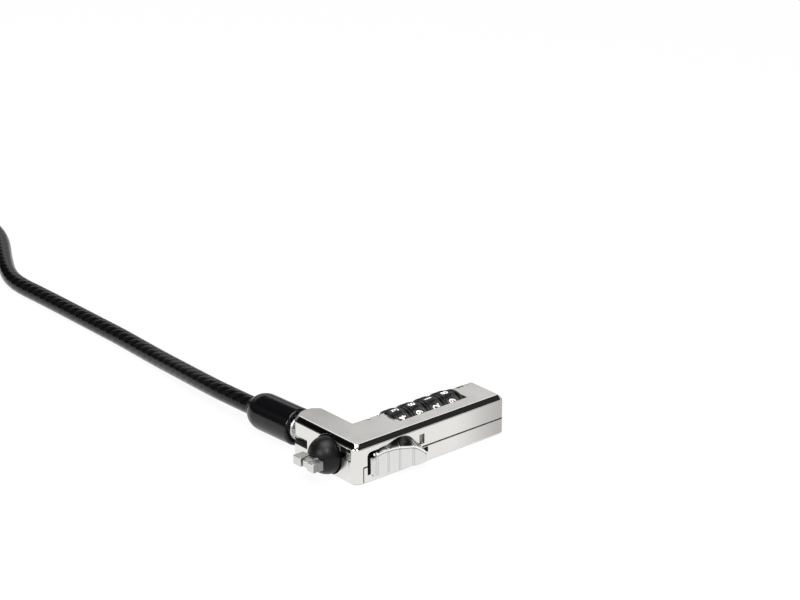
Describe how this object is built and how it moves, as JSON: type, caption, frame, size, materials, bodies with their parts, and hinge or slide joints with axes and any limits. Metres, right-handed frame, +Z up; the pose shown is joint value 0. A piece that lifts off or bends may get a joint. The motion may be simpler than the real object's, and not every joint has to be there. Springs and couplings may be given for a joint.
{
  "type": "laptop cable lock",
  "caption": "Slim L-shaped laptop lock with number dials, a thumb slider, a locking head that spreads in the slot, and a steel cable on a swivel.",
  "frame": {"origin": "on the base, under the axis of the locking head, 8 mm in from the laptop side", "axes": "+X along the long leg, away from the laptop; +Y along the swivel leg, towards the cable; +Z up, out of the top face"},
  "size_m": [0.0863, 0.2446, 0.0188],
  "materials": {
    "satin_body": "satin plated die-cast zinc",
    "black_ball": "semi-matte black",
    "black_dial": "black with plain white numbers",
    "chrome": "bright plated",
    "steel": "plain steel",
    "screw_steel": "plain steel",
    "brass": "machined",
    "black_ferrule": "gloss black",
    "sheath": "dark clear sheath over twisted steel strands",
    "crimp": "satin"
  },
  "bodies": {
    "lock_body": {"upper_housing": "satin_body", "bottom_cover": "satin_body", "cover_screws": "screw_steel", "spindle_bush": "brass", "detent_leaf": "steel", "swivel_pin": "steel"},
    "slider_unit": {"slider": "chrome", "draw_link": "steel", "spindle": "steel", "return_spring": "steel"},
    "head": {"nose_ball": "black_ball", "head_stem": "steel", "head_clip": "steel"},
    "wedge": {"wedge_pin": "steel"},
    "front_jaw": {"jaw_front": "steel"},
    "back_jaw": {"jaw_back": "steel"},
    "swivel": {"swivel_neck": "chrome", "cable": "sheath", "cable_coil": "sheath", "loop_sleeve": "crimp", "loop_eye": "sheath"},
    "ferrule_turning": {"ferrule": "black_ferrule", "ferrule_grommet": "black_ferrule"},
    "code_reset": {"reset_screw": "steel"},
    "dial_1_turning": {"dial_1": "black_dial", "code_sleeve_1": "brass"},
    "dial_2_turning": {"dial_2": "black_dial", "code_sleeve_2": "brass"},
    "dial_3_turning": {"dial_3": "black_dial", "code_sleeve_3": "brass"},
    "dial_4_turning": {"dial_4": "black_dial", "code_sleeve_4": "brass"}
  },
  "joints": [
    {"name": "dial_1_spin", "type": "hinge", "parent": "lock_body", "child": "dial_1_turning", "pos_m": [0.012, -0.0011, 0.0056], "axis": [1, 0, 0], "continuous": true},
    {"name": "dial_2_spin", "type": "hinge", "parent": "lock_body", "child": "dial_2_turning", "pos_m": [0.0171, -0.0011, 0.0056], "axis": [1, 0, 0], "continuous": true},
    {"name": "dial_3_spin", "type": "hinge", "parent": "lock_body", "child": "dial_3_turning", "pos_m": [0.0222, -0.0011, 0.0056], "axis": [1, 0, 0], "continuous": true},
    {"name": "dial_4_spin", "type": "hinge", "parent": "lock_body", "child": "dial_4_turning", "pos_m": [0.0273, -0.0011, 0.0056], "axis": [1, 0, 0], "continuous": true},
    {"name": "slider_slide", "type": "slide", "parent": "lock_body", "child": "slider_unit", "axis": [1, 0, 0], "range_m": [0, 0.003], "stiffness_N_per_m": 500, "springref_m": -0.002},
    {"name": "head_spin", "type": "hinge", "parent": "lock_body", "child": "head", "pos_m": [-0.00845, 0, 0.0048], "axis": [1, 0, 0], "continuous": true},
    {"name": "wedge_slide", "type": "slide", "parent": "head", "child": "wedge", "axis": [1, 0, 0], "range_m": [0, 0.003]},
    {"name": "front_jaw_slide", "type": "slide", "parent": "head", "child": "front_jaw", "axis": [0, 1, 0], "range_m": [0, 0.0004]},
    {"name": "back_jaw_slide", "type": "slide", "parent": "head", "child": "back_jaw", "axis": [0, 1, 0], "range_m": [-0.0004, 0]},
    {"name": "cable_swing", "type": "hinge", "parent": "lock_body", "child": "swivel", "pos_m": [-0.0034, 0.0103, 0.0047], "axis": [0, 0, 1], "range_deg": [-83, 77]},
    {"name": "ferrule_spin", "type": "hinge", "parent": "swivel", "child": "ferrule_turning", "pos_m": [-0.00413, 0.02428, 0.0047], "axis": [-0.0523, 0.9986, 0], "continuous": true},
    {"name": "code_reset_turn", "type": "hinge", "parent": "lock_body", "child": "code_reset", "pos_m": [0.0372, -0.0011, 0.0056], "axis": [1, 0, 0], "range_deg": [0, 90]}
  ],
  "couplings": [
    {"joint": "wedge_slide", "follows": "slider_slide", "ratio": 1},
    {"joint": "front_jaw_slide", "follows": "slider_slide", "ratio": 0.13333},
    {"joint": "back_jaw_slide", "follows": "slider_slide", "ratio": -0.13333}
  ]
}
